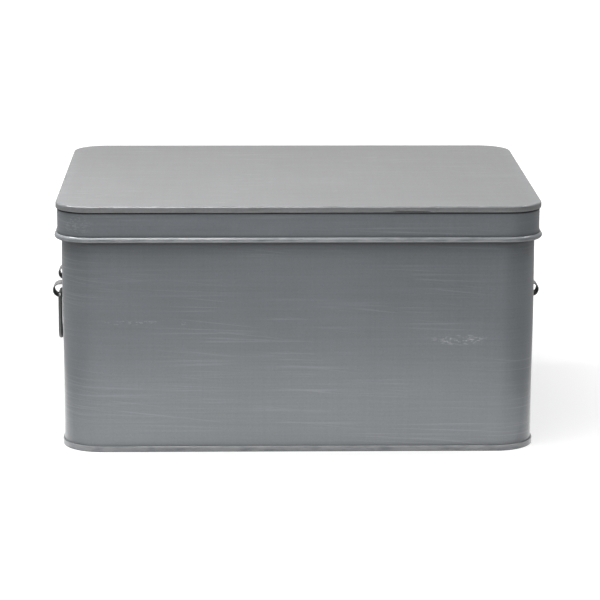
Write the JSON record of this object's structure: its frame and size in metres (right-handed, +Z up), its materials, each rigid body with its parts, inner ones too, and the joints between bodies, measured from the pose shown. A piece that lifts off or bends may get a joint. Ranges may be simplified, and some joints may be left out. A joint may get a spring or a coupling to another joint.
{
  "type": "metal storage box",
  "caption": "Rectangular grey sheet-metal storage box with rounded corners, a flat lift-off lid with a wired bead, and a wire drop handle at each end",
  "frame": {"origin": "middle of the underside of the closed box, on the surface that it stands on", "axes": "+Z up, +X to the right end with its handle, -Y to the front, long wall"},
  "size_m": [0.3644, 0.2734, 0.18],
  "materials": {
    "box_paint": "hand-brushed satin grey with faint rubbed streaks",
    "lid_paint": "hand-brushed satin grey, rubbed paler on the edges",
    "bright_wire": "plain drawn wire, hidden in the bead",
    "handle_wire": "dull grey drawn wire",
    "ear_steel": "grey outside, dark unpainted inside the loop",
    "rivet_steel": "satin, painted over with the wall"
  },
  "bodies": {
    "box": {"body_wall": "box_paint", "bottom_panel": "box_paint", "left_front_ear": "ear_steel", "left_back_ear": "ear_steel", "right_front_ear": "ear_steel", "right_back_ear": "ear_steel", "left_front_ear_rivets": "rivet_steel", "left_back_ear_rivets": "rivet_steel", "right_front_ear_rivets": "rivet_steel", "right_back_ear_rivets": "rivet_steel"},
    "lid": {"lid_top": "lid_paint", "lid_band": "lid_paint", "lid_bead_wire": "bright_wire"},
    "left_handle": {"left_handle": "handle_wire"},
    "right_handle": {"right_handle": "handle_wire"}
  },
  "joints": [
    {"name": "lid_lift", "type": "slide", "parent": "box", "child": "lid", "axis": [0, 0, 1], "range_m": [0, 0.06]},
    {"name": "left_handle_swing", "type": "hinge", "parent": "box", "child": "left_handle", "pos_m": [-0.1764, 0, 0.096], "axis": [0, 1, 0], "range_deg": [-7, 187]},
    {"name": "right_handle_swing", "type": "hinge", "parent": "box", "child": "right_handle", "pos_m": [0.1764, 0, 0.096], "axis": [0, -1, 0], "range_deg": [-7, 187]}
  ]
}
